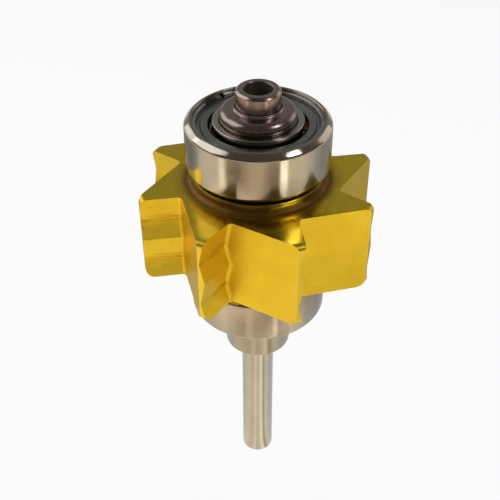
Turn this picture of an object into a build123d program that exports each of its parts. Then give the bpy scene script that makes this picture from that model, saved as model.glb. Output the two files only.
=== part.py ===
"""Turbine cartridge of a high-speed dental handpiece, with a plain pin in its chuck.

Millimetres. Z is the spindle's axis and points to the push-button end. The origin is the centre of the
upper bearing. Seen from the push-button end the cartridge runs clockwise.
"""

import os
from math import cos, radians, sin

from build123d import *

# ---------------------------------------------------------------- driving sizes

# Ball bearings, both alike: bore, outside and width are a catalogue size.
bearing_bore = 3.175
bearing_outside = 6.35
bearing_width = 2.38
outer_ring_wall = 0.475
inner_ring_wall = 0.385
outer_ring_round = 0.26
inner_ring_recess = 0.07  # of its face on the shield's side
inner_ring_bore_chamfer = 0.17
inner_ring_edge_chamfer = 0.05
ball_diameter = 1.0
ball_count = 7
race_play = 0.01  # between a ball and the bottom of each race
race_conformity = 0.53  # radius of the race over the ball's diameter

# Crown cage: a ring with bored pockets that open on the shield's side.
cage_side_gap = 0.09
cage_pocket_gap = 0.04
cage_back = 0.8
cage_finger = 0.28

# Shield and the snap ring that holds it in the outer ring.
shield_seat_wall = 0.355
shield_depth = 0.41  # from the ring's face to the seat
shield_thickness = 0.12
shield_gap = 0.18  # between the shield and the inner ring
shield_fit = 0.01
snap_ring_thickness = 0.16
snap_ring_width = 0.22
snap_ring_play = 0.02
snap_ring_mouth = 25.0  # degrees between its two ends
snap_ring_turn = 136.0  # degrees, where the mouth is
snap_groove_depth = 0.07
lip_chamfer = 0.04

# Impeller.
impeller_clearance = 0.14  # to each bearing's outer ring
impeller_bore = 3.7
neck_diameter = 5.9
upper_neck_height = 0.46
lower_neck_height = 0.37
neck_chamfer = 0.05
upper_neck_fillet = 0.38
lower_neck_fillet = 0.25
blade_tip_diameter = 10.8
blade_height = 4.26
blade_count = 8
blade_turn = -114.6  # degrees, bucket edge of the first blade
blade_land = 3.3  # degrees of flat rim at each tip
bucket_root_diameter = 7.36
bucket_rake = 5.6  # degrees from a bucket's edge to its root
upper_rim_round = 0.28
lower_rim_round = 0.36
scallop_depth = 0.24
scallop_valley = 0.55  # valley's place in a scallop, as a share of its height
scallop_round = 0.35

# Spindle and the cap on its end.
nose_length = 2.45
nose_chamfer = 0.1
nose_wall = 0.32
spindle_wall = 0.29
cap_height = 0.52
cap_round = 0.2
cap_spigot = 0.97
stub_clearance = 0.03

# Pusher.
stub_diameter = 1.94
stub_rise = 0.88
stub_bore = 1.24
stub_chamfer = 0.09
stub_bore_chamfer = 0.04
flange_gap = 0.08  # to the cap's spigot
flange_side_gap = 0.05
flange_thickness = 0.45
collet_socket = 0.2

# Chuck: a split collet drawn up into a cone by a spring.
shank_diameter = 1.6
grip_gap = 0.01
collet_wall = 0.15
collet_clearance = 0.04
collet_relief = 0.03
collet_grip = 3.0
collet_recess = 0.15
cone_length = 1.6
cone_seat_gap = 0.01
slot_count = 3
slot_width = 0.2
slot_length = 4.6
spring_length = 3.0
spring_clearance = 0.05
spring_turns = 6

# Plain pin in the chuck.
pin_length = 19.0
pin_stop_gap = 0.47  # between its end and the pusher
pin_chamfer = 0.1

# ---------------------------------------------------------------- places along the axis

half_width = bearing_width / 2
neck_top_z = -half_width - impeller_clearance
blade_top_z = neck_top_z - upper_neck_height
blade_bottom_z = blade_top_z - blade_height
neck_bottom_z = blade_bottom_z - lower_neck_height
lower_face_z = neck_bottom_z - impeller_clearance  # the lower bearing's face towards the impeller
lower_bearing_z = lower_face_z - half_width
nose_z = lower_bearing_z - half_width - nose_length
cap_seat_z = half_width - inner_ring_recess  # the cap starts level with the upper inner ring's face
cap_top_z = cap_seat_z + cap_height
spigot_z = cap_seat_z - cap_spigot
flange_top_z = spigot_z - flange_gap
flange_bottom_z = flange_top_z - flange_thickness
stub_top_z = cap_top_z + stub_rise
collet_top_z = flange_bottom_z + collet_socket
spring_floor_z = flange_bottom_z - spring_length
cone_top_z = nose_z + cone_length
collet_bottom_z = nose_z + collet_recess
pin_top_z = collet_top_z - pin_stop_gap
pin_bottom_z = pin_top_z - pin_length

# ---------------------------------------------------------------- radii worked out from them

seat_radius = bearing_bore / 2
ring_radius = bearing_outside / 2
outer_land = ring_radius - outer_ring_wall
inner_land = seat_radius + inner_ring_wall
pitch_radius = (outer_land + inner_land) / 2
race_radius = race_conformity * ball_diameter
outer_race = pitch_radius + ball_diameter / 2 + race_play - race_radius
inner_race = pitch_radius - ball_diameter / 2 - race_play + race_radius
shield_seat = ring_radius - shield_seat_wall
chamber_radius = seat_radius - spindle_wall
collet_bore = shank_diameter / 2 + grip_gap
collet_radius = shank_diameter / 2 + collet_wall
guide_radius = collet_radius + collet_clearance
cone_mouth = seat_radius - nose_wall
spring_wire = chamber_radius - collet_radius - 2 * spring_clearance
spring_radius = (chamber_radius + collet_radius) / 2


def polar(radius, angle):
    """Point in plan at a radius and an angle in degrees from +X."""
    return Vector(radius * cos(radians(angle)), radius * sin(radians(angle)))


def save(part, name):
    part.label = name
    export_step(part, f"parts/{name}.step")


# ---------------------------------------------------------------- ball bearing
# Each function makes its piece for the bearing with its middle at height `middle`.
# `out` is 1 where the shield looks up and -1 where it looks down.


def section(middle, out):
    """Half section of a bearing: X is the radius, and Y runs along the axis to the shield's face."""
    return Plane(origin=(0, 0, middle), x_dir=(1, 0, 0), z_dir=(0, -out, 0))


def make_outer_ring(middle, out):
    seat = half_width - shield_depth
    groove_low = seat + shield_thickness
    groove_high = groove_low + snap_ring_thickness + snap_ring_play
    with BuildPart() as ring:
        with BuildSketch(section(middle, out)):
            with BuildLine():
                Polyline(
                    (outer_land + lip_chamfer, -half_width),
                    (ring_radius, -half_width),
                    (ring_radius, half_width),
                    (shield_seat + lip_chamfer, half_width),
                    (shield_seat, half_width - lip_chamfer),
                    (shield_seat, groove_high),
                    (shield_seat + snap_groove_depth, groove_high),
                    (shield_seat + snap_groove_depth, groove_low),
                    (shield_seat, groove_low),
                    (shield_seat, seat),
                    (outer_land, seat),
                    (outer_land, lip_chamfer - half_width),
                    close=True,
                )
            make_face()
            fillet(vertices().group_by(Axis.X)[-1], outer_ring_round)
        revolve(axis=Axis.Z)
        with Locations((0, 0, middle)):
            Torus(outer_race, race_radius, mode=Mode.SUBTRACT)
    return ring.part


def make_inner_ring(middle, out):
    with BuildPart() as ring:
        with BuildSketch(section(middle, out)):
            with Locations(((seat_radius + inner_land) / 2, -inner_ring_recess / 2)):
                Rectangle(inner_land - seat_radius, bearing_width - inner_ring_recess)
            profile = vertices().group_by(Axis.X)
            chamfer(profile[0], inner_ring_bore_chamfer)
            chamfer(profile[-1], inner_ring_edge_chamfer)
        revolve(axis=Axis.Z)
        with Locations((0, 0, middle)):
            Torus(inner_race, race_radius, mode=Mode.SUBTRACT)
    return ring.part


def make_shield(middle, out):
    inside = inner_land + shield_gap
    outside = shield_seat - shield_fit
    with BuildPart() as shield:
        with BuildSketch(section(middle, out)):
            with Locations(((inside + outside) / 2, half_width - shield_depth + shield_thickness / 2)):
                Rectangle(outside - inside, shield_thickness)
        revolve(axis=Axis.Z)
    return shield.part


def make_snap_ring(middle, out):
    """Wire ring of square section, sprung into its groove on top of the shield, with its mouth open."""
    outside = shield_seat + snap_groove_depth - shield_fit
    low = half_width - shield_depth + shield_thickness
    with BuildPart() as wire:
        with BuildSketch(section(middle, out)):
            with Locations((outside - snap_ring_width / 2, low + snap_ring_thickness / 2)):
                Rectangle(snap_ring_width, snap_ring_thickness)
        revolve(axis=Axis.Z)
        with BuildSketch(Plane.XY.offset(middle - half_width)):
            sides = [polar(ring_radius, snap_ring_turn + s * snap_ring_mouth / 2) for s in (-1, 1)]
            Polygon((0, 0), *sides, align=None)
        extrude(amount=bearing_width, mode=Mode.SUBTRACT)
    return wire.part


def make_cage(middle, out):
    inside = inner_land + cage_side_gap
    outside = outer_land - cage_side_gap
    with BuildPart() as cage:
        with BuildSketch(section(middle, out)):
            with Locations(((inside + outside) / 2, (cage_finger - cage_back) / 2)):
                Rectangle(outside - inside, cage_finger + cage_back)
        revolve(axis=Axis.Z)
        for index in range(ball_count):
            bore_way = polar(1, 360 * index / ball_count)
            with BuildSketch(Plane(origin=(0, 0, middle), z_dir=(bore_way.X, bore_way.Y, 0))):
                Circle(ball_diameter / 2 + cage_pocket_gap)
            extrude(amount=ring_radius, mode=Mode.SUBTRACT)
    return cage.part


def make_ball(middle, index):
    centre = polar(pitch_radius, 360 * index / ball_count)
    with BuildPart() as ball:
        with Locations((centre.X, centre.Y, middle)):
            Sphere(ball_diameter / 2)
    return ball.part


# ---------------------------------------------------------------- impeller


def make_scallops():
    """The two hollows of one bucket, as a tool that cuts the bucket's face from edge to root."""
    pitch = 360 / blade_count
    edge = polar(blade_tip_diameter / 2, blade_turn)
    root = polar(bucket_root_diameter / 2, blade_turn + bucket_rake)
    next_back = polar(blade_tip_diameter / 2, blade_turn + pitch - blade_land)
    along = (edge - root).normalized()
    into_blade = Vector(along.Y, -along.X)
    back_side = (next_back - root).normalized()
    out_of_blade = Vector(back_side.Y, -back_side.X)
    scallop = blade_height / 2
    with BuildPart() as tool:
        face = Plane(origin=(root.X, root.Y, blade_top_z), x_dir=into_blade, z_dir=along)
        up = 1 if face.y_dir.Z > 0 else -1
        with BuildSketch(face.offset(-scallop_depth * 2)):
            for n in range(2):
                top = -up * n * scallop
                bottom = -up * (n + 1) * scallop
                valley = top + (bottom - top) * scallop_valley
                with BuildLine():
                    Polyline((0, top), (scallop_depth, valley), (0, bottom), close=True)
                make_face()
            fillet(vertices().group_by(Axis.X)[-1], scallop_round)
        extrude(amount=blade_tip_diameter / 2)
        split(bisect_by=Plane(origin=root, x_dir=back_side, z_dir=out_of_blade), keep=Keep.TOP)
    return tool.part


def make_impeller():
    tip = blade_tip_diameter / 2
    neck = neck_diameter / 2
    pitch = 360 / blade_count
    edge = polar(tip, blade_turn)
    root = polar(bucket_root_diameter / 2, blade_turn + bucket_rake)
    next_back = polar(tip, blade_turn + pitch - blade_land)
    gullet = [root, root + (edge - root) * 2, root + (next_back - root) * 2]
    with BuildPart() as impeller:
        with BuildSketch(Plane.XZ):
            with BuildLine():
                Polyline(
                    (impeller_bore / 2, neck_bottom_z),
                    (neck - neck_chamfer, neck_bottom_z),
                    (neck, neck_bottom_z + neck_chamfer),
                    (neck, blade_bottom_z),
                    (tip, blade_bottom_z),
                    (tip, blade_top_z),
                    (neck, blade_top_z),
                    (neck, neck_top_z - neck_chamfer),
                    (neck - neck_chamfer, neck_top_z),
                    (impeller_bore / 2, neck_top_z),
                    close=True,
                )
            make_face()
            corners = vertices().filter_by(lambda v: abs(v.X - neck) < 1e-6).sort_by(Axis.Y)
            fillet(corners[1], lower_neck_fillet)
            fillet(corners[2], upper_neck_fillet)
            rims = vertices().group_by(Axis.X)[-1].sort_by(Axis.Y)
            fillet(rims[0], lower_rim_round)
            fillet(rims[-1], upper_rim_round)
        revolve(axis=Axis.Z)
        with BuildSketch(Plane.XY.offset(blade_bottom_z)):
            with PolarLocations(0, blade_count):
                Polygon(*gullet, align=None)
        extrude(amount=blade_height, mode=Mode.SUBTRACT)
        with PolarLocations(0, blade_count):
            add(make_scallops(), mode=Mode.SUBTRACT)
    return impeller.part


# ---------------------------------------------------------------- spindle, cap and chuck


def make_spindle():
    with BuildPart() as spindle:
        with BuildSketch(Plane.XZ):
            with BuildLine():
                Polyline(
                    (chamber_radius, cap_seat_z),
                    (seat_radius, cap_seat_z),
                    (seat_radius, -half_width),
                    (impeller_bore / 2, -half_width),
                    (impeller_bore / 2, lower_face_z),
                    (seat_radius, lower_face_z),
                    (seat_radius, nose_z),
                    (cone_mouth, nose_z),
                    (guide_radius, cone_top_z),
                    (guide_radius, spring_floor_z),
                    (chamber_radius, spring_floor_z),
                    close=True,
                )
            make_face()
            nose = vertices().group_by(Axis.Y)[0].sort_by(Axis.X)[-1]
            chamfer(nose, nose_chamfer)
        revolve(axis=Axis.Z)
    return spindle.part


def make_cap():
    bore = stub_diameter / 2 + stub_clearance
    with BuildPart() as cap:
        with BuildSketch(Plane.XZ):
            with BuildLine():
                Polyline(
                    (bore, spigot_z),
                    (chamber_radius, spigot_z),
                    (chamber_radius, cap_seat_z),
                    (seat_radius, cap_seat_z),
                    (seat_radius, cap_top_z),
                    (bore, cap_top_z),
                    close=True,
                )
            make_face()
            shoulder = vertices().group_by(Axis.Y)[-1].sort_by(Axis.X)[-1]
            fillet(shoulder, cap_round)
        revolve(axis=Axis.Z)
    return cap.part


def make_pusher():
    with BuildPart() as pusher:
        with BuildSketch(Plane.XZ):
            with BuildLine():
                Polyline(
                    (stub_bore / 2, collet_top_z),
                    (collet_radius, collet_top_z),
                    (collet_radius, flange_bottom_z),
                    (chamber_radius - flange_side_gap, flange_bottom_z),
                    (chamber_radius - flange_side_gap, flange_top_z),
                    (stub_diameter / 2, flange_top_z),
                    (stub_diameter / 2, stub_top_z),
                    (stub_bore / 2, stub_top_z),
                    close=True,
                )
            make_face()
            end = vertices().group_by(Axis.Y)[-1].sort_by(Axis.X)
            chamfer(end[0], stub_bore_chamfer)
            chamfer(end[-1], stub_chamfer)
        revolve(axis=Axis.Z)
    return pusher.part


def make_collet():
    """Tube with a conical head at the nose, slit so that its jaws can spring open."""
    lean = (cone_mouth - guide_radius) / cone_length
    head_bottom = cone_mouth - lean * collet_recess - cone_seat_gap
    head_top = guide_radius + lean * collet_recess - cone_seat_gap
    grip_top_z = collet_bottom_z + collet_grip
    with BuildPart() as collet:
        with BuildSketch(Plane.XZ):
            with BuildLine():
                Polyline(
                    (collet_bore, collet_bottom_z),
                    (head_bottom, collet_bottom_z),
                    (head_top, cone_top_z - collet_recess),
                    (collet_radius, cone_top_z - collet_recess),
                    (collet_radius, collet_top_z),
                    (collet_bore + collet_relief, collet_top_z),
                    (collet_bore + collet_relief, grip_top_z),
                    (collet_bore, grip_top_z),
                    close=True,
                )
            make_face()
            mouth = vertices().group_by(Axis.Y)[0].sort_by(Axis.X)[0]
            chamfer(mouth, pin_chamfer)
        revolve(axis=Axis.Z)
        with BuildSketch(Plane.XY.offset(collet_bottom_z)):
            with PolarLocations(0, slot_count):
                Rectangle(seat_radius, slot_width, align=(Align.MIN, Align.CENTER))
        extrude(amount=slot_length, mode=Mode.SUBTRACT)
    return collet.part


def make_spring():
    rise = (spring_length - spring_wire) / spring_turns
    with BuildPart() as spring:
        with BuildLine():
            coil = Helix(rise, spring_length - spring_wire, spring_radius,
                         center=(0, 0, spring_floor_z + spring_wire / 2))
        with BuildSketch(Plane(origin=coil @ 0, x_dir=(1, 0, 0), z_dir=(0, 1, 0))):
            Rectangle(spring_wire, spring_wire)
        sweep(is_frenet=True)
    return spring.part


def make_pin():
    with BuildPart() as pin:
        with BuildSketch(Plane.XY.offset(pin_bottom_z)):
            Circle(shank_diameter / 2)
        extrude(amount=pin_length)
        chamfer(pin.edges().filter_by(GeomType.CIRCLE), pin_chamfer)
    return pin.part


# ---------------------------------------------------------------- build and write

os.makedirs("parts", exist_ok=True)

for side, middle, out in (("upper", 0.0, 1), ("lower", lower_bearing_z, -1)):
    save(make_outer_ring(middle, out), f"{side}_outer_ring")
    save(make_inner_ring(middle, out), f"{side}_inner_ring")
    save(make_shield(middle, out), f"{side}_shield")
    save(make_snap_ring(middle, out), f"{side}_snap_ring")
    save(make_cage(middle, out), f"{side}_cage")
    for index in range(ball_count):
        save(make_ball(middle, index), f"{side}_ball_{index + 1}")

save(make_impeller(), "impeller")
save(make_spindle(), "spindle")
save(make_cap(), "spindle_cap")
save(make_pusher(), "pusher")
save(make_collet(), "collet")
save(make_spring(), "chuck_spring")
save(make_pin(), "test_pin")
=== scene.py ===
"""Looks of the turbine cartridge: turned steel bearings and chuck, a gold-coloured impeller and a plain pin.

Sizes are in millimetres and angles in degrees, unless a comment says otherwise.
"""

from math import asin, cos, pi, radians, sin, sqrt

import bmesh
import bpy
from mathutils import Matrix, Vector


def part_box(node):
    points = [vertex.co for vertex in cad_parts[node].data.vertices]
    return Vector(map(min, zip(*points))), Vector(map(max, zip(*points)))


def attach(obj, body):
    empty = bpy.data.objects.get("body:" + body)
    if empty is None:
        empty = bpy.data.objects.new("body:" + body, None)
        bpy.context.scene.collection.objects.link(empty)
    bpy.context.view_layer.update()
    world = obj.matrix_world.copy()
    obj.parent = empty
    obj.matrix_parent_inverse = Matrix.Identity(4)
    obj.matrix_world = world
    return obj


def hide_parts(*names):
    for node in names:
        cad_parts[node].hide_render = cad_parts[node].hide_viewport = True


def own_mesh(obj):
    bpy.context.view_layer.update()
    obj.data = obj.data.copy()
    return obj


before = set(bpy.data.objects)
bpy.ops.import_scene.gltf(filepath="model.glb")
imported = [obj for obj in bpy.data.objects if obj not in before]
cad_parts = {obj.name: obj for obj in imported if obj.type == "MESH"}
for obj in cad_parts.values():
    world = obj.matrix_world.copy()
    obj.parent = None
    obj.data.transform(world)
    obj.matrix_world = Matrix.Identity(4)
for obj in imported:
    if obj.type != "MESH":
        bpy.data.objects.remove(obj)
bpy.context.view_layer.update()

# ---------------------------------------------------------------- sizes

MM = 0.001  # a millimetre in metres
SAME_PLACE = 1e-7  # metres, points nearer than this are one
TURN_STEPS = 160  # facets round a turned piece
NECK_STEPS = 120  # facets round the impeller's necks
WIRE_STEPS = 140  # facets along a snap wire
COIL_STEPS = 32  # facets along one turn of the chuck spring
RACE_STEPS = 6  # facets on each half of a ball race
ROUND_STEPS = 6  # facets on each rounding of an outline
FLAT = 0.95  # an end face has more than this of its normal along Z

# Ball bearings
half_width = 1.19
ring_radius = 3.175
ring_facet = 0.24  # slanted edge of the outer ring
ring_facet_round = 0.08
ring_bore_round = 0.04
ring_lip_round = 0.03
seat_radius = 1.5875
seat_round = 0.15
outer_land = 2.7
inner_land = 1.9725
inner_land_round = 0.05
race_radius = 0.53
outer_race = 2.316  # radius of the circle of the race's centres
inner_race = 2.356
inner_recess = 0.07  # of the inner ring's face on the shield's side
ball_count = 7
shield_seat = 2.82
shield_gap = 0.18
shield_depth = 0.41
shield_thickness = 0.12
shield_edge = 0.02
shield_lip = 0.03
pressed_outside = 2.63  # groove pressed in the shield
pressed_inside = 2.46
pressed_depth = 0.06
pressed_outer_slant = 0.02
pressed_inner_slant = 0.04
pressed_round = 0.01
snap_groove = 0.07
snap_width = 0.22
snap_thickness = 0.16
snap_round = 0.04
snap_play = 0.02
snap_mouth = 25.0  # between the wire's two ends
snap_turn = 136.0  # where the mouth is
fit = 0.01  # between pieces that touch

# Impeller
neck_radius = 2.95
neck_edge = 0.05
neck_flare = 0.05  # of each neck's foot past its fillet, into the blades
impeller_bore = 1.85
upper_neck_height = 0.46
lower_neck_height = 0.37
upper_neck_fillet = 0.38
lower_neck_fillet = 0.25
blade_tip = 5.4
blade_count = 8
blade_turn = -114.6  # bucket edge of the first blade
blade_land = 3.3  # flat rim at each tip
bucket_root = 3.68
bucket_rake = 5.6  # from a bucket's edge to its root
upper_rim_round = 0.28
lower_rim_round = 0.36
rim_shares = (0, 0.04, 0.13, 0.28, 0.5, 0.74, 1)  # of a rim's rounding, where the blades' plan is drawn
level_count = 40  # even steps of the further plans, from top to bottom
least_level = 0.03  # least gap between a rim's plans and the further ones
scallop_depth = 0.24
scallop_valley = 0.55  # valley's place in a hollow, as a share of its height
scallop_slope = 1.06  # of a hollow's walls
scallop_ease = 0.12  # lost at the valley, where the walls round off
root_round = 0.2
worn_edge = 0.025

# Spindle, cap, pusher, chuck and pin
chamber_radius = 1.2975
guide_radius = 0.99
cone_mouth = 1.2675
cone_length = 1.6
land_round = 0.05  # both ends of the land that carries the impeller
nose_round = 0.1
mouth_round = 0.03
cap_radius = 1.66
cap_round = 0.34
cap_foot = 0.04  # slanted edge at the cap's foot
cap_bore = 1.0
collar_wall = 0.03
collar_rise = 0.12
collar_fillet = 0.1
collar_round = 0.01
stub_radius = 0.97
stub_bore = 0.62
stub_bore_round = 0.04
bore_margin = 0.005  # faces of the stub this near its bore belong to it
stub_facet = 0.11
stub_facet_round = 0.03
flange_radius = 1.2475
flange_gap = 0.08
flange_round = 0.03
collet_radius = 0.95
shank_radius = 0.8
pin_round = 0.1
spring_wire = 0.2475
spring_radius = 1.1237
spring_turns = 6
pin_travel = 10.5


def height(node, end):
    """Height in millimetres of a node's lowest (0) or highest (1) point."""
    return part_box(node)[end][2] / MM


blade_top = height("impeller", 1) - upper_neck_height
blade_bottom = height("impeller", 0) + lower_neck_height
blade_height = blade_top - blade_bottom
cap_seat = half_width - inner_recess
cap_top = height("spindle_cap", 1)
cap_bottom = height("spindle_cap", 0)
stub_top = height("pusher", 1)
flange_top = cap_bottom - flange_gap
flange_bottom = height("pusher", 0)
collet_top = height("collet", 1)
nose = height("spindle", 0)
spring_floor = height("chuck_spring", 0)
spring_length = flange_bottom - spring_floor
pin_top = height("test_pin", 1)
pin_bottom = height("test_pin", 0)
lower_bearing = (height("lower_outer_ring", 0) + height("lower_outer_ring", 1)) / 2

# ---------------------------------------------------------------- making pieces


def polar(radius, angle):
    """Point in plan, in millimetres, at an angle in degrees from +X."""
    return Vector((radius * cos(radians(angle)), radius * sin(radians(angle))))


def finish_piece(bm, name, *materials, sharp=25.0):
    """Turns a bmesh into a shaded piece with its edges sharp past an angle in degrees."""
    bmesh.ops.remove_doubles(bm, verts=bm.verts, dist=SAME_PLACE)
    bmesh.ops.recalc_face_normals(bm, faces=bm.faces)
    mesh = bpy.data.meshes.new(name)
    bm.to_mesh(mesh)
    bm.free()
    for face in mesh.polygons:
        face.use_smooth = True
    mesh.set_sharp_from_angle(angle=radians(sharp))
    for material in materials:
        mesh.materials.append(material)
    piece = bpy.data.objects.new(name, mesh)
    bpy.context.scene.collection.objects.link(piece)
    return piece


def outline(bm, corners):
    """Closed wire in the XZ plane from (radius, height, round) corners, each rounded by its own amount."""
    points = [bm.verts.new((r * MM, 0, z * MM)) for r, z, _ in corners]
    for a, b in zip(points, points[1:] + points[:1]):
        bm.edges.new((a, b))
    for size in sorted({c[2] for c in corners} - {0}):
        rounded = [p for p, c in zip(points, corners) if c[2] == size]
        bmesh.ops.bevel(bm, geom=rounded, offset=size * MM, segments=ROUND_STEPS, profile=0.5,
                        affect="VERTICES", material=-1)


def turn(bm, steps=TURN_STEPS, angle=360.0):
    """Spins all that a bmesh holds about the spindle's axis."""
    whole = angle == 360.0
    bmesh.ops.spin(bm, geom=bm.verts[:] + bm.edges[:] + bm.faces[:], cent=(0, 0, 0), axis=(0, 0, 1),
                   angle=radians(angle), steps=steps, use_merge=whole)


def turned(name, material, corners):
    """Piece turned from one outline."""
    bm = bmesh.new()
    outline(bm, corners)
    turn(bm)
    return finish_piece(bm, name, material)


def carry(piece, node, body):
    """Lets a piece ride on a body in place of a plain node."""
    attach(piece, body)
    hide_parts(node)


def dress(node, material):
    """Gives a plain node its finish."""
    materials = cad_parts[node].data.materials
    materials.clear()
    materials.append(material)


# ---------------------------------------------------------------- finishes

white = (1, 1, 1)
black = (0, 0, 0)
quarter_turn = 0.25


def grey(level):
    return (level, level, level)


class Pattern:
    """A material with patterns on object coordinates, in millimetres."""

    def __init__(self, name):
        self.material = bpy.data.materials.new(name)
        self.material.use_nodes = True
        self.nodes = self.material.node_tree.nodes
        self.links = self.material.node_tree.links
        where = self.nodes.new("ShaderNodeTexCoord")
        self.place = self.vector("SCALE", where.outputs["Object"], scale=1 / MM)

    def vector(self, operation, source, other=None, scale=None):
        node = self.nodes.new("ShaderNodeVectorMath")
        node.operation = operation
        self.links.new(source, node.inputs[0])
        if other:
            node.inputs[1].default_value = other
        if scale:
            node.inputs["Scale"].default_value = scale
        return node.outputs["Value" if operation == "LENGTH" else "Vector"]

    def along(self, axis):
        node = self.nodes.new("ShaderNodeSeparateXYZ")
        self.links.new(self.place, node.inputs[0])
        return node.outputs[axis]

    def height(self):
        return self.along("Z")

    def radius(self):
        return self.vector("LENGTH", self.vector("MULTIPLY", self.place, other=(1, 1, 0)))

    def azimuth(self):
        """Share of a turn from -X round by -Y."""
        node = self.nodes.new("ShaderNodeTexGradient")
        node.gradient_type = "RADIAL"
        self.links.new(self.place, node.inputs[0])
        return node.outputs["Fac"]

    def noise(self, scale, detail=4.0, stretch=(1, 1, 1)):
        """Noise with `scale` grains to the millimetre, drawn out along each axis by `stretch`."""
        mapping = self.nodes.new("ShaderNodeMapping")
        mapping.inputs["Scale"].default_value = [1 / s for s in stretch]
        texture = self.nodes.new("ShaderNodeTexNoise")
        texture.inputs["Scale"].default_value = scale
        texture.inputs["Detail"].default_value = detail
        self.links.new(self.place, mapping.inputs["Vector"])
        self.links.new(mapping.outputs[0], texture.inputs["Vector"])
        return texture.outputs["Fac"]

    def turning(self, scale, detail=3.0):
        """Rings left by a lathe or a grinding wheel, `scale` to the millimetre."""
        step = self.nodes.new("ShaderNodeMath")
        self.links.new(self.radius(), step.inputs[0])
        self.links.new(self.height(), step.inputs[1])
        texture = self.nodes.new("ShaderNodeTexNoise")
        texture.noise_dimensions = "1D"
        texture.inputs["Scale"].default_value = scale
        texture.inputs["Detail"].default_value = detail
        self.links.new(step.outputs[0], texture.inputs["W"])
        return texture.outputs["Fac"]

    def shades(self, source, stops):
        """Colours from a source through (position, colour) stops."""
        node = self.nodes.new("ShaderNodeValToRGB")
        elements = node.color_ramp.elements
        for _ in stops[2:]:
            elements.new(0.5)
        for element, (position, colour) in zip(elements, stops):
            element.position = position
            element.color = (*colour, 1)
        self.links.new(source, node.inputs[0])
        return node.outputs[0]

    def mix(self, blend, a, b, share=1.0):
        """Mixes two colours; `share` is a number or a socket."""
        node = self.nodes.new("ShaderNodeMix")
        node.data_type = "RGBA"
        node.blend_type = blend
        if isinstance(share, float):
            node.inputs[0].default_value = share
        else:
            self.links.new(share, node.inputs[0])
        self.links.new(a, node.inputs[6])
        self.links.new(b, node.inputs[7])
        return node.outputs[2]

    def span(self, source, old, new=(0.0, 1.0)):
        """Maps the range `old` of a source to the range `new`."""
        node = self.nodes.new("ShaderNodeMapRange")
        for name, value in zip(("From Min", "From Max", "To Min", "To Max"), (*old, *new)):
            node.inputs[name].default_value = value
        self.links.new(source, node.inputs["Value"])
        return node.outputs[0]


class Finish(Pattern):
    """The surface of a piece."""

    def __init__(self, name, roughness, metallic=1.0):
        super().__init__(name)
        self.shader = self.nodes["Principled BSDF"]
        self.shader.inputs["Metallic"].default_value = metallic
        self.shader.inputs["Roughness"].default_value = roughness
        self.relief = None

    def colour(self, source):
        self.links.new(source, self.shader.inputs["Base Color"])

    def rough(self, source, low, high):
        self.links.new(self.span(source, (0.25, 0.75), (low, high)), self.shader.inputs["Roughness"])

    def bump(self, source, depth):
        """Relief of `depth` millimetres, on top of any before it."""
        node = self.nodes.new("ShaderNodeBump")
        node.inputs["Distance"].default_value = depth * MM
        self.links.new(source, node.inputs["Height"])
        if self.relief:
            self.links.new(self.relief, node.inputs["Normal"])
        self.relief = node.outputs[0]
        self.links.new(self.relief, self.shader.inputs["Normal"])

    def brushed_round(self, amount):
        """Stretches reflections across the turning marks."""
        around = self.nodes.new("ShaderNodeTangent")
        around.direction_type = "RADIAL"
        around.axis = "Z"
        self.links.new(around.outputs[0], self.shader.inputs["Tangent"])
        self.shader.inputs["Anisotropic"].default_value = amount
        self.shader.inputs["Anisotropic Rotation"].default_value = quarter_turn


def make_steel(name, colour, roughness, grind=0.0004, brushed=0.0, pits=0.2):
    """Ground steel: fine rings of the wheel, a little cloudiness and a few small pits."""
    steel = Finish(name, roughness)
    darker = [c * 0.93 for c in colour]
    lighter = [c * 1.07 for c in colour]
    cloud = steel.shades(steel.noise(0.9, detail=3), [(0.3, darker), (0.7, lighter)])
    pit = (0.35, 0.3, 0.27)
    marks = steel.shades(steel.noise(5.5, detail=1.5), [(pits, pit), (pits + 0.03, white)])
    steel.colour(steel.mix("MULTIPLY", cloud, marks))
    steel.rough(steel.noise(2.5, detail=5), roughness - 0.04, roughness + 0.05)
    steel.bump(steel.turning(16), grind)
    if brushed:
        steel.brushed_round(brushed)
    return steel.material


def gold_base(name, roughness):
    """Gold-coloured aluminium, paler at the tips as a painted highlight on the tip lands: gives back the
    finish and its tone.
    """
    gold = Finish(name, roughness)
    cloud = gold.shades(gold.noise(0.8), [(0.3, (0.80, 0.57, 0.035)), (0.7, (0.87, 0.63, 0.045))])
    # painted highlight: a paler tone on the tip lands
    tip_highlight = gold.shades(gold.noise(2.5), [(0.0, (0.82, 0.61, 0.05)), (1.0, (0.86, 0.66, 0.10))])
    at_tips = gold.span(gold.radius(), (blade_tip - 0.09, blade_tip - 0.02))
    specks = gold.shades(gold.noise(9, detail=2), [(0.22, (0.55, 0.45, 0.35)), (0.30, white)])
    hairlines = gold.noise(22, detail=2, stretch=(8, 8, 1))
    brushed = gold.shades(hairlines, [(0.3, (0.93, 0.92, 0.88)), (0.7, white)])
    tone = gold.mix("MULTIPLY", gold.mix("MIX", cloud, tip_highlight, at_tips), specks)
    return gold, gold.mix("MULTIPLY", tone, brushed)


def make_satin_gold():
    """The blades' backs and tips."""
    gold, tone = gold_base("satin_gold", 0.38)
    gold.colour(tone)
    gold.rough(gold.noise(3, detail=5), 0.36, 0.40)
    gold.bump(gold.noise(30, detail=3), 0.0008)
    return gold.material


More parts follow.
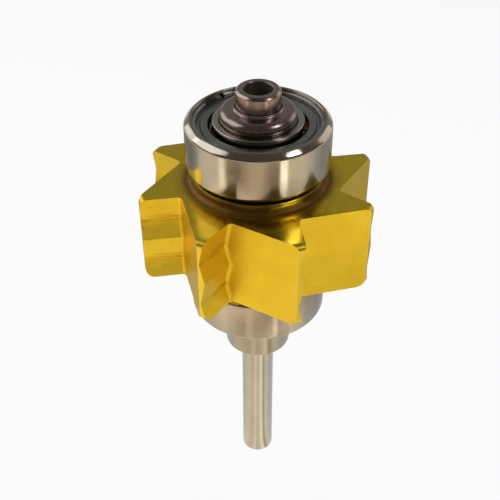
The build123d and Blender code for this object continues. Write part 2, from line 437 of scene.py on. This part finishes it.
def make_turned_gold():
    """Flat and turned faces: brighter than the milled ones, with painted brown shade round each neck's foot,
    left off up the neck on its lit side.
    """
    gold, tone = gold_base("turned_gold", 0.2)
    # painted shade: a brown ring round each neck's foot, where the bearing above shades it; it is also
    # rougher there
    inside = neck_radius - 0.05
    outward = gold.span(gold.radius(), (inside, inside + 1))
    painted_shade_ring = gold.shades(outward, [
        (0.0527, grey(0.8)), (0.056, white), (0.28, white), (0.54, grey(0.3)), (0.95, black)])
    # the painted shade is left off up the neck on this side, where the neck catches a highlight
    unshaded_lit_side = gold.shades(gold.azimuth(), [
        (0.27, white), (0.29, grey(0.05)), (0.335, grey(0.05)), (0.36, white)])
    up_the_neck = gold.span(gold.height(), (blade_top, blade_top + upper_neck_height))
    foot = gold.shades(up_the_neck, [(0.35, white), (0.6, black)])
    painted_shade_share = gold.mix("MULTIPLY", painted_shade_ring, gold.mix("LIGHTEN", unshaded_lit_side, foot))
    painted_shade_tone = gold.shades(gold.noise(2.5), [(0.3, (0.13, 0.065, 0.012)), (0.7, (0.19, 0.095, 0.020))])
    gold.colour(gold.mix("MIX", tone, painted_shade_tone, painted_shade_share))
    smooth = gold.shades(gold.noise(3, detail=5), [(0.25, grey(0.17)), (0.75, grey(0.25))])
    rough = gold.shades(gold.noise(3, detail=5), [(0.25, grey(0.44)), (0.75, grey(0.54))])
    gold.links.new(gold.mix("MIX", smooth, rough, painted_shade_share), gold.shader.inputs["Roughness"])
    gold.bump(gold.turning(14), 0.0005)
    gold.bump(gold.noise(4), 0.0012)
    return gold.material


def make_milled_gold():
    """Bucket finish: dark chatter lines near each valley and at the ridge between the hollows."""
    gold, tone = gold_base("milled_gold", 0.34)
    lines = gold.noise(13, detail=2, stretch=(14, 14, 0.5))
    chatter = gold.shades(lines, [(0.5, white), (0.62, (0.62, 0.50, 0.38))])
    ridge = 0.5

    def at_valley(middle):
        return [(middle - 0.05, black), (middle - 0.01, white),
                (middle + 0.03, white), (middle + 0.06, black)]

    where = gold.shades(gold.span(gold.height(), (blade_bottom, blade_top)), [
        *at_valley(ridge - scallop_valley / 2),
        (ridge - 0.005, black), (ridge + 0.005, white), (ridge + 0.03, black),
        *at_valley(1 - scallop_valley / 2)])
    gold.colour(gold.mix("MULTIPLY", tone, chatter, where))
    gold.rough(gold.noise(3, detail=5), 0.29, 0.39)
    gold.bump(gold.noise(12, detail=3, stretch=(10, 10, 0.5)), 0.0012)
    return gold.material


def make_cage_resin():
    """Machined brown resin with short fibres in it."""
    resin = Finish("cage_resin", 0.5, metallic=0.0)
    fibres = resin.noise(6, detail=5, stretch=(1, 1, 4))
    resin.colour(resin.shades(fibres, [(0.35, (0.15, 0.08, 0.04)), (0.65, (0.24, 0.13, 0.07))]))
    resin.rough(fibres, 0.45, 0.6)
    resin.bump(resin.turning(10), 0.001)
    return resin.material


ring_steel = make_steel("ground_ring_steel", (0.47, 0.42, 0.35), 0.15, brushed=0.8)
# the rings' flat ends: a rougher finish of their own, and a darker copy of the ring's steel as painted shade
shaded_ring_end_steel = make_steel("shaded_ring_end_steel", (0.27, 0.25, 0.22), 0.26)
race_steel = make_steel("race_steel", (0.42, 0.39, 0.34), 0.2)
ball_steel = make_steel("ball_steel", (0.60, 0.60, 0.59), 0.08, grind=0.0001)
shield_steel = make_steel("pressed_shield_steel", (0.25, 0.26, 0.25), 0.34)
wire_steel = make_steel("snap_wire_steel", (0.36, 0.34, 0.32), 0.24)
cap_steel = make_steel("cap_gunmetal", (0.31, 0.245, 0.22), 0.25, brushed=0.4)
stub_steel = make_steel("stub_gunmetal", (0.32, 0.25, 0.22), 0.2)
bore_steel = make_steel("bore_steel", (0.34, 0.30, 0.26), 0.45)
nose_steel = make_steel("nose_steel", (0.44, 0.39, 0.32), 0.2, brushed=0.6)
pin_steel = make_steel("pin_steel", (0.55, 0.51, 0.46), 0.15, grind=0.0001, brushed=0.5)
cage_resin = make_cage_resin()
satin_gold = make_satin_gold()
turned_gold = make_turned_gold()
milled_gold = make_milled_gold()

# ---------------------------------------------------------------- bearings


def race_groove(centre, side, land):
    """Corners along a ball race, from low to high, on the land at one side of its centre."""
    reach = asin(sqrt(1 - ((land - centre) / race_radius) ** 2))
    angles = [reach * n / RACE_STEPS for n in range(-RACE_STEPS, RACE_STEPS + 1)]
    return [(centre + side * race_radius * cos(a), race_radius * sin(a), 0) for a in angles]


def snap_wire(name, middle, out):
    """Square wire with soft corners, bent round and open at its mouth."""
    low = half_width - shield_depth + shield_thickness
    radius = shield_seat + snap_groove - fit - snap_width / 2
    level = middle + out * (low + snap_thickness / 2)
    first_end = radians(snap_turn + snap_mouth / 2)
    bm = bmesh.new()
    bmesh.ops.create_grid(bm, x_segments=1, y_segments=1, size=0.5)
    bmesh.ops.scale(bm, verts=bm.verts, vec=(snap_width * MM, snap_thickness * MM, 1))
    bmesh.ops.rotate(bm, verts=bm.verts, matrix=Matrix.Rotation(radians(90), 3, "X"))
    bmesh.ops.translate(bm, verts=bm.verts, vec=(radius * MM, 0, level * MM))
    bmesh.ops.bevel(bm, geom=bm.verts[:], offset=snap_round * MM, segments=3, profile=0.5,
                    affect="VERTICES", material=-1)
    bmesh.ops.rotate(bm, verts=bm.verts, matrix=Matrix.Rotation(first_end, 3, "Z"))
    turn(bm, WIRE_STEPS, 360.0 - snap_mouth)
    return finish_piece(bm, name, wire_steel)


def colour_end_faces(piece, material):
    """Gives the flat faces at both ends of a ring a finish of their own."""
    piece.data.materials.append(material)
    for face in piece.data.polygons:
        if abs(face.normal.z) > FLAT:
            face.material_index = 1


def bearing(side, middle, out):
    """The pieces of one bearing; `out` is 1 where its shield looks up and -1 where it looks down."""
    seat = half_width - shield_depth
    low = seat + shield_thickness
    groove = shield_seat + snap_groove
    lip = low + snap_thickness + snap_play
    facet_radius = ring_radius - ring_facet
    facet_height = half_width - ring_facet
    shield_inside = inner_land + shield_gap
    shield_outside = shield_seat - fit
    pressed = low - pressed_depth

    def placed(corners):
        return [(r, middle + out * z, size) for r, z, size in corners]

    outer = turned(f"{side}_bearing_outer", ring_steel, placed([
        (outer_land, -half_width, ring_bore_round),
        (facet_radius, -half_width, ring_facet_round), (ring_radius, -facet_height, ring_facet_round),
        (ring_radius, facet_height, ring_facet_round), (facet_radius, half_width, ring_facet_round),
        (shield_seat, half_width, ring_lip_round), (shield_seat, lip, 0), (groove, lip, 0), (groove, low, 0),
        (shield_seat, low, 0), (shield_seat, seat, 0), (outer_land, seat, ring_lip_round),
        *reversed(race_groove(outer_race, 1, outer_land))]))
    # the flat ends take the darker steel: painted shade as well as a rougher finish
    colour_end_faces(outer, shaded_ring_end_steel)
    inner = turned(f"{side}_bearing_inner", race_steel, placed([
        (seat_radius, cap_seat, seat_round), (seat_radius, -half_width, seat_round),
        (inner_land, -half_width, inner_land_round), *race_groove(inner_race, -1, inner_land),
        (inner_land, cap_seat, inner_land_round)]))
    shield = turned(f"{side}_bearing_shield", shield_steel, placed([
        (shield_inside, seat, shield_edge), (shield_outside, seat, shield_edge), (shield_outside, low, 0),
        (pressed_outside, low, 0), (pressed_outside - pressed_outer_slant, pressed, 0),
        (pressed_inside + pressed_inner_slant, pressed, 0), (pressed_inside, low, pressed_round),
        (shield_inside, low, shield_lip)]))
    wire = snap_wire(f"{side}_bearing_snap_wire", middle, out)
    carry(outer, f"{side}_outer_ring", f"{side}_race")
    carry(shield, f"{side}_shield", f"{side}_race")
    carry(wire, f"{side}_snap_ring", f"{side}_race")
    carry(inner, f"{side}_inner_ring", "rotor")
    for n in range(ball_count):
        dress(f"{side}_ball_{n + 1}", ball_steel)
    dress(f"{side}_cage", cage_resin)


bearing("upper", 0.0, 1)
bearing("lower", lower_bearing, -1)

# ---------------------------------------------------------------- impeller


def scallop(z):
    """Depth of the bucket's two hollows at a height."""
    share = (blade_top - z) / blade_height * 2 % 1
    if share < scallop_valley:
        depth = share / scallop_valley
    else:
        depth = (1 - share) / (1 - scallop_valley)
    return scallop_depth * (scallop_slope * depth - scallop_ease * depth ** 6)


def tip_at(z):
    """Radius of the blades' tips at a height, with both rims rounded."""
    up = blade_top - z
    down = z - blade_bottom
    if up < upper_rim_round:
        return blade_tip - upper_rim_round + sqrt(upper_rim_round ** 2 - (upper_rim_round - up) ** 2)
    if down < lower_rim_round:
        return blade_tip - lower_rim_round + sqrt(lower_rim_round ** 2 - (lower_rim_round - down) ** 2)
    return blade_tip


def reach_circle(start, way, radius):
    """Where a line from inside a circle leaves it."""
    along = start.dot(way)
    return start + way * (sqrt(along ** 2 - start.dot(start) + radius ** 2) - along)


def star(z):
    """Plan of the blades at a height: for each, its back corner, its bucket's edge and the bucket's root."""
    tip = tip_at(z)
    pitch = 360 / blade_count
    points = []
    for n in range(blade_count):
        turn_to = blade_turn + pitch * n
        edge = polar(blade_tip, turn_to)
        root = polar(bucket_root, turn_to + bucket_rake)
        face = (edge - root).normalized()
        into = Vector((face.y, -face.x))
        previous_root = polar(bucket_root, turn_to - pitch + bucket_rake)
        back = (polar(blade_tip, turn_to - blade_land) - previous_root).normalized()
        next_back = (polar(blade_tip, turn_to + pitch - blade_land) - root).normalized()
        points.append(reach_circle(previous_root, back, tip))
        points.append(reach_circle(root + into * scallop(z), face, tip))
        points.append(root + next_back * (scallop(z) / next_back.dot(into)))
    return points


def blade_levels():
    """Heights at which the blades' plan is drawn, closer together at both rims."""
    upper = [blade_top - upper_rim_round * share for share in rim_shares]
    lower = [blade_bottom + lower_rim_round * share for share in reversed(rim_shares)]
    middle = [blade_top - blade_height * n / level_count for n in range(1, level_count)]
    return upper + [z for z in middle if lower[0] + least_level < z < upper[-1] - least_level] + lower


def add_blades(bm):
    """Draws the blades level by level; gives back the edges down each bucket's root."""
    levels = blade_levels()
    ring = [bm.verts.new((*(p * MM), levels[0] * MM)) for p in star(levels[0])]
    edges = [bm.edges.new(pair) for pair in zip(ring, ring[1:] + ring[:1])]
    roots = []
    for z in levels[1:]:
        made = bmesh.ops.extrude_edge_only(bm, edges=edges)["geom"]
        edges = [e for e in made if isinstance(e, bmesh.types.BMEdge) and all(v in made for v in e.verts)]
        place = {vertex: n for n, vertex in enumerate(ring)}
        below = {}
        for face in (f for f in made if isinstance(f, bmesh.types.BMFace)):
            # each blade has three corners, and its bucket lies between the second and the third
            corners = {place[v] % 3 for v in face.verts if v in place}
            face.material_index = 2 if corners == {1, 2} else 0
            for edge in face.edges:
                old = [v for v in edge.verts if v in place]
                new = [v for v in edge.verts if v not in place]
                if len(old) == 1 and len(new) == 1:
                    below[old[0]] = new[0]
        next_ring = [below[v] for v in ring]
        for vertex, point in zip(next_ring, star(z)):
            vertex.co = (*(point * MM), z * MM)
        roots += [bm.edges.get((a, b)) for a, b in zip(ring[2::3], next_ring[2::3])]
        ring = next_ring
    return roots


def add_hub(bm):
    """Turns both necks and the bore, open where the blades' flat faces join them."""
    hub = bmesh.new()
    outline(hub, [
        (neck_radius + upper_neck_fillet + neck_flare, blade_top, 0),
        (neck_radius, blade_top, upper_neck_fillet),
        (neck_radius, blade_top + upper_neck_height, neck_edge),
        (impeller_bore, blade_top + upper_neck_height, 0),
        (impeller_bore, blade_bottom - lower_neck_height, 0),
        (neck_radius, blade_bottom - lower_neck_height, neck_edge),
        (neck_radius, blade_bottom, lower_neck_fillet),
        (neck_radius + lower_neck_fillet + neck_flare, blade_bottom, 0)])
    in_blades = (neck_radius + neck_flare) * MM
    between = [e for e in hub.edges if all(v.co.x > in_blades for v in e.verts)
               and abs(e.verts[0].co.z - e.verts[1].co.z) > MM]
    bmesh.ops.delete(hub, geom=between, context="EDGES_FACES")
    turn(hub, NECK_STEPS)
    bmesh.ops.remove_doubles(hub, verts=hub.verts, dist=SAME_PLACE)
    joined = bpy.data.meshes.new("hub")
    hub.to_mesh(joined)
    hub.free()
    before = len(bm.faces)
    bm.from_mesh(joined)
    bpy.data.meshes.remove(joined)
    bm.faces.ensure_lookup_table()
    for face in bm.faces[before:]:
        face.material_index = 1


def make_impeller():
    """Blades, flat faces and necks in one piece, with its edges a little worn."""
    bm = bmesh.new()
    roots = add_blades(bm)
    add_hub(bm)
    for z in (blade_top, blade_bottom):
        open_edges = [e for e in bm.edges if e.is_boundary]
        rims = [e for e in open_edges if all(abs(v.co.z - z * MM) < SAME_PLACE for v in e.verts)]
        made = bmesh.ops.triangle_fill(bm, use_beauty=True, edges=rims)["geom"]
        for face in (f for f in made if isinstance(f, bmesh.types.BMFace)):
            face.material_index = 1
    bmesh.ops.recalc_face_normals(bm, faces=bm.faces)
    bmesh.ops.bevel(bm, geom=roots, offset=root_round * MM, offset_type="OFFSET", segments=4, profile=0.5,
                    affect="EDGES", material=-1)
    piece = finish_piece(bm, "impeller_blades", satin_gold, turned_gold, milled_gold, sharp=20)
    edges = piece.modifiers.new("worn_edges", "BEVEL")
    edges.width = worn_edge * MM
    edges.segments = 2
    edges.limit_method = "ANGLE"
    edges.angle_limit = radians(32)
    edges.harden_normals = True
    return piece


carry(make_impeller(), "impeller", "rotor")

# ---------------------------------------------------------------- spindle, cap, pusher, pin

lower_face = lower_bearing + half_width
spindle = turned("spindle_shaft", nose_steel, [
    (chamber_radius, cap_seat, 0), (seat_radius, cap_seat, 0), (seat_radius, -half_width, 0),
    (impeller_bore, -half_width, land_round), (impeller_bore, lower_face, land_round),
    (seat_radius, lower_face, 0), (seat_radius, nose, nose_round), (cone_mouth, nose, mouth_round),
    (guide_radius, nose + cone_length, 0), (guide_radius, spring_floor, 0),
    (chamber_radius, spring_floor, 0)])
cap = turned("cap_dome", cap_steel, [
    (cap_bore, cap_bottom, 0), (chamber_radius, cap_bottom, 0), (chamber_radius, cap_seat, 0),
    (seat_radius, cap_seat, 0), (cap_radius, cap_seat + cap_foot, cap_foot), (cap_radius, cap_top, cap_round),
    (cap_bore + collar_wall, cap_top, collar_fillet),
    (cap_bore + collar_wall, cap_top + collar_rise, collar_round),
    (cap_bore, cap_top + collar_rise, collar_round)])


def make_pusher():
    """Hollow stub with its flange; its bore is rougher than its outside."""
    bm = bmesh.new()
    outline(bm, [
        (stub_bore, collet_top, 0), (collet_radius, collet_top, 0), (collet_radius, flange_bottom, 0),
        (flange_radius, flange_bottom, flange_round), (flange_radius, flange_top, flange_round),
        (stub_radius, flange_top, 0), (stub_radius, stub_top - stub_facet, stub_facet_round),
        (stub_radius - stub_facet, stub_top, stub_facet_round), (stub_bore, stub_top, stub_bore_round)])
    turn(bm)
    for face in bm.faces:
        if face.calc_center_median().xy.length < (stub_bore + bore_margin) * MM:
            face.material_index = 1
    return finish_piece(bm, "pusher_stub", stub_steel, bore_steel)


def make_spring():
    """Compression spring of round wire between the spindle's shoulder and the pusher's flange."""
    steps = COIL_STEPS * spring_turns
    first = spring_floor + spring_wire / 2
    rise = (spring_length - spring_wire) / steps
    bm = bmesh.new()
    bmesh.ops.create_circle(bm, cap_ends=True, segments=12, radius=spring_wire / 2 * MM)
    bmesh.ops.rotate(bm, verts=bm.verts, matrix=Matrix.Rotation(radians(90), 3, "X"))
    bmesh.ops.translate(bm, verts=bm.verts, vec=(spring_radius * MM, 0, first * MM))
    bmesh.ops.spin(bm, geom=bm.verts[:] + bm.edges[:] + bm.faces[:], cent=(0, 0, 0), axis=(0, 0, 1),
                   dvec=(0, 0, rise * MM), angle=2 * pi * spring_turns, steps=steps)
    return finish_piece(bm, "chuck_coil", wire_steel)


pin = turned("plain_pin", pin_steel, [
    (0.0, pin_top, 0), (shank_radius, pin_top, pin_round), (shank_radius, pin_bottom, pin_round),
    (0.0, pin_bottom, 0)])
carry(spindle, "spindle", "rotor")
carry(cap, "spindle_cap", "rotor")
carry(make_pusher(), "pusher", "chuck")
carry(pin, "test_pin", "pin")
dress("collet", nose_steel)
spring = make_spring()
carry(spring, "chuck_spring", "rotor")
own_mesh(spring)

# ---------------------------------------------------------------- floor, light and camera

floor_level = pin_bottom - pin_travel  # the pin has room to slide out
floor_reach = 1000
floor_gap = 0.005  # the floor and the cards lie this far under what stands on them
card_gap = 0.003


def bright_where_seen(tree, share, plain, bright, output):
    """Mixes a share of a bright shader into a plain one, for rays from the camera and from metal only."""
    nodes, links = tree.nodes, tree.links
    path = nodes.new("ShaderNodeLightPath")
    either = nodes.new("ShaderNodeMath")
    either.operation = "MAXIMUM"
    links.new(path.outputs["Is Camera Ray"], either.inputs[0])
    links.new(path.outputs["Is Glossy Ray"], either.inputs[1])
    factor = nodes.new("ShaderNodeMapRange")
    factor.inputs["To Max"].default_value = share
    links.new(either.outputs[0], factor.inputs["Value"])
    mix = nodes.new("ShaderNodeMixShader")
    links.new(factor.outputs[0], mix.inputs[0])
    links.new(plain.outputs[0], mix.inputs[1])
    links.new(bright.outputs[0], mix.inputs[2])
    links.new(mix.outputs[0], nodes[output].inputs["Surface"])


def make_floor():
    """Pale ground that looks nearly white and takes the part's soft shadow."""
    material = bpy.data.materials.new("pale_floor")
    material.use_nodes = True
    nodes = material.node_tree.nodes
    matt = nodes["Principled BSDF"]
    matt.inputs["Base Color"].default_value = (0.86, 0.86, 0.86, 1)
    matt.inputs["Roughness"].default_value = 0.9
    matt.inputs["Specular IOR Level"].default_value = 0.0
    bright_where_seen(material.node_tree, 0.85, matt, nodes.new("ShaderNodeEmission"), "Material Output")
    bm = bmesh.new()
    bmesh.ops.create_grid(bm, x_segments=1, y_segments=1, size=floor_reach * MM)
    bmesh.ops.translate(bm, verts=bm.verts, vec=(0, 0, (floor_level - floor_gap) * MM))
    finish_piece(bm, "floor", material)


make_floor()


class Glow(Pattern):
    """The light that a card gives off."""

    def __init__(self, name):
        super().__init__(name)
        self.shader = self.nodes.new("ShaderNodeEmission")
        self.links.new(self.shader.outputs[0], self.nodes["Material Output"].inputs["Surface"])

    def colour(self, source):
        self.links.new(source, self.shader.inputs["Color"])


def only_in_metal(card):
    """Hides a card from all but reflections."""
    card.visible_camera = False
    card.visible_diffuse = False
    card.visible_shadow = False
    card.visible_transmission = False


# Painted reflections: tones of a disc round the part that only metal sees, as (degrees from the viewer's
# side, colour). The pin and the nose see it nearest, then the lower bearing, the blades and, furthest out,
# the upper bearing.
PIN_TONES = [
    (-90, (0.88, 0.82, 0.70)), (-66, (0.97, 0.86, 0.69)), (-40, (0.86, 0.75, 0.57)),
    (-28, (0.90, 0.79, 0.60)), (-19, (1.10, 0.98, 0.79)), (-13, (1.10, 0.98, 0.79)),
    (-4, (0.86, 0.76, 0.58)), (8, (0.92, 0.82, 0.64)), (24, (1.30, 1.16, 0.96)), (30, (1.34, 1.20, 1.00)),
    (36, (0.62, 0.54, 0.38)), (46, (0.66, 0.58, 0.42)), (56, (0.90, 0.85, 0.70)), (68, (0.88, 0.83, 0.70)),
    (88, (0.68, 0.69, 0.66)), (120, (0.62, 0.63, 0.62)), (235, (0.72, 0.72, 0.69)),
    (252, (0.68, 0.66, 0.60)), (270, (0.88, 0.82, 0.70))]
LOWER_RING_TONES = [
    (-90, (0.78, 0.70, 0.56)), (-54, (1.06, 0.96, 0.76)), (-43, (0.92, 0.80, 0.62)),
    (-27, (0.66, 0.53, 0.37)), (-21, (0.66, 0.53, 0.37)), (-17, (0.96, 0.80, 0.60)),
    (-11, (0.96, 0.80, 0.60)), (-6, (0.76, 0.61, 0.42)), (11, (0.74, 0.59, 0.41)), (22, (0.95, 0.82, 0.62)),
    (25, (1.75, 1.55, 1.28)), (29, (1.75, 1.55, 1.28)), (32, (0.85, 0.72, 0.52)), (43, (1.12, 0.98, 0.74)),
    (51, (1.15, 1.02, 0.78)), (54, (1.62, 1.48, 1.16)), (58, (1.08, 1.00, 0.74)), (74, (0.94, 0.87, 0.64)),
    (84, (0.62, 0.64, 0.58)), (110, (0.44, 0.45, 0.43)), (250, (0.45, 0.45, 0.43)),
    (270, (0.78, 0.70, 0.56))]
BLADE_TONES = [
    (-90, (0.85, 0.77, 0.60)), (-70, (1.30, 1.12, 0.80)), (-38, (1.30, 1.12, 0.80)),
    (0, (0.84, 0.70, 0.50)), (16, (0.50, 0.42, 0.30)), (42, (0.50, 0.42, 0.30)), (80, (0.55, 0.47, 0.36)),
    (120, (0.34, 0.32, 0.30)), (230, (0.42, 0.40, 0.37)), (270, (0.85, 0.77, 0.60))]
UPPER_RING_TONES = [
    (-90, (1.00, 0.94, 0.79)), (-66, (1.03, 0.93, 0.73)), (-61, (1.16, 1.04, 0.82)),
    (-59, (1.75, 1.60, 1.30)), (-53, (1.75, 1.60, 1.30)), (-47, (0.42, 0.33, 0.23)),
    (-43, (0.33, 0.25, 0.17)), (-28, (0.33, 0.25, 0.17)), (-19, (0.54, 0.43, 0.30)),
    (-10, (0.76, 0.61, 0.43)), (3, (0.80, 0.65, 0.46)), (12, (0.56, 0.44, 0.32)), (19, (0.37, 0.29, 0.20)),
    (30, (0.38, 0.30, 0.21)), (34, (2.50, 2.35, 1.90)), (41, (2.50, 2.35, 1.90)), (45, (1.05, 0.92, 0.66)),
    (70, (1.02, 0.93, 0.72)), (82, (0.84, 0.80, 0.68)), (96, (0.52, 0.51, 0.47)), (112, (0.36, 0.36, 0.35)),
    (238, (0.24, 0.24, 0.23)), (254, (0.44, 0.43, 0.38)), (264, (0.88, 0.84, 0.72)),
    (270, (1.00, 0.94, 0.79))]

# Each zone fades in and out between these distances from the spindle's axis, in millimetres.
REFLECTION_ZONES = [
    (LOWER_RING_TONES, (12.6, 13.6, 17.4, 18.6)), (BLADE_TONES, (17.4, 18.6, 28, 30)),
    (UPPER_RING_TONES, (28, 29.4, 42, 62))]
far_tone = (0.80, 0.68, 0.50)  # of the painted reflection card outside all zones
far_fade = (15, 40)
reflection_card_radius = 110


def make_reflection_card(name, level, zones):
    """Disc that only metal sees: the pin's tones round it and, where it has zones, theirs further out."""
    card = Glow(name)
    azimuth = card.azimuth()
    out = card.span(card.radius(), (0, reflection_card_radius))

    def tones(stops):
        return card.shades(azimuth, [((angle + 90) / 360, colour) for angle, colour in stops])

    def share(distances, parts):
        return card.shades(out, [(d / reflection_card_radius, grey(part)) for d, part in zip(distances, parts)])

    colour = tones(PIN_TONES)
    if zones:
        colour = card.mix("MIX", colour, tones([(-90, far_tone), (270, far_tone)]), share(far_fade, (0, 1)))
    for stops, distances in zones:
        colour = card.mix("MIX", colour, tones(stops), share(distances, (0, 1, 1, 0)))
    card.colour(colour)
    bm = bmesh.new()
    bmesh.ops.create_circle(bm, cap_ends=True, segments=96, radius=reflection_card_radius * MM)
    bmesh.ops.translate(bm, verts=bm.verts, vec=(0, 0, (level - card_gap) * MM))
    only_in_metal(finish_piece(bm, name, card.material))


tent_radius = 190
tent_hem = 2  # height of the tent's open edge above the pin's end


def make_dark_reflection_tent():
    """Dome over the part that only metal sees, painting dark reflections: dark on the viewer's side, grey
    behind.
    """
    cloth = Glow("painted_dark_reflection")
    cloth.colour(cloth.shades(cloth.span(cloth.along("Y"), (-tent_radius, tent_radius)), [
        (0.0, (0.085, 0.07, 0.06)), (0.5, (0.11, 0.10, 0.09)),
        (0.75, (0.24, 0.24, 0.23)), (1.0, (0.30, 0.30, 0.29))]))
    bm = bmesh.new()
    bmesh.ops.create_uvsphere(bm, u_segments=48, v_segments=24, radius=tent_radius * MM)
    bmesh.ops.translate(bm, verts=bm.verts, vec=(0, 0, pin_bottom * MM))
    under = [f for f in bm.faces if f.calc_center_median().z < (pin_bottom + tent_hem) * MM]
    bmesh.ops.delete(bm, geom=under, context="FACES")
    only_in_metal(finish_piece(bm, "tent", cloth.material))


make_reflection_card("painted_reflection_card", pin_bottom, REFLECTION_ZONES)
make_reflection_card("floor_reflection_card", floor_level, [])
make_dark_reflection_tent()

light_aim = Vector((0, 0, -4))


def softbox(name, azimuth, elevation, distance, size, radiance):
    """Square light at an angle from the viewer's side and above the level, facing the impeller."""
    data = bpy.data.lights.new(name, "AREA")
    data.shape = "SQUARE"
    data.size = size * MM
    data.energy = radiance * pi * (size * MM) ** 2
    light = bpy.data.objects.new(name, data)
    bpy.context.scene.collection.objects.link(light)
    a, e = radians(azimuth), radians(elevation)
    way = Vector((sin(a) * cos(e), -cos(a) * cos(e), sin(e)))
    light.location = (way * distance + light_aim) * MM
    light.rotation_euler = way.to_track_quat("Z", "Y").to_euler()
    light.visible_camera = False
    return light


over = softbox("overhead_box", azimuth=0, elevation=88, distance=140, size=110, radiance=3.0)
over.visible_glossy = False
softbox("left_box", azimuth=-91, elevation=36, distance=110, size=84, radiance=1.5)
softbox("right_box", azimuth=62, elevation=43, distance=110, size=30, radiance=6.5)
softbox("left_back_box", azimuth=-125, elevation=18, distance=110, size=60, radiance=1.2)
softbox("right_back_box", azimuth=122, elevation=16, distance=110, size=60, radiance=0.7)


def make_world():
    """Grey surroundings that look white to the camera and in metal."""
    world = bpy.data.worlds.new("studio")
    world.use_nodes = True
    bpy.context.scene.world = world
    nodes = world.node_tree.nodes
    shade = nodes["Background"]
    shade.inputs["Color"].default_value = (0.32, 0.32, 0.33, 1)
    bright = nodes.new("ShaderNodeBackground")
    bright.inputs["Color"].default_value = (*white, 1)
    bright_where_seen(world.node_tree, 1.0, shade, bright, "World Output")


make_world()

camera_target = Vector((-0.375, 0, -5.947))
camera_distance = 40.744
camera_elevation = 38.09
camera_roll = -0.27


def make_camera():
    """Camera above the part and square to its front, turned a little about its own line of sight."""
    data = bpy.data.cameras.new("camera")
    data.lens = 62.12
    data.sensor_width = 36
    data.clip_start = 1 * MM
    data.clip_end = 10
    camera = bpy.data.objects.new("camera", data)
    bpy.context.scene.collection.objects.link(camera)
    elevation = radians(camera_elevation)
    way = Vector((0, -cos(elevation), sin(elevation)))
    place = Matrix.Translation((camera_target + way * camera_distance) * MM)
    tilt = Matrix.Rotation(pi / 2 - elevation, 4, "X")
    camera.matrix_world = place @ tilt @ Matrix.Rotation(radians(camera_roll), 4, "Z")
    bpy.context.scene.camera = camera


make_camera()

bpy.context.scene.view_settings.view_transform = "Standard"
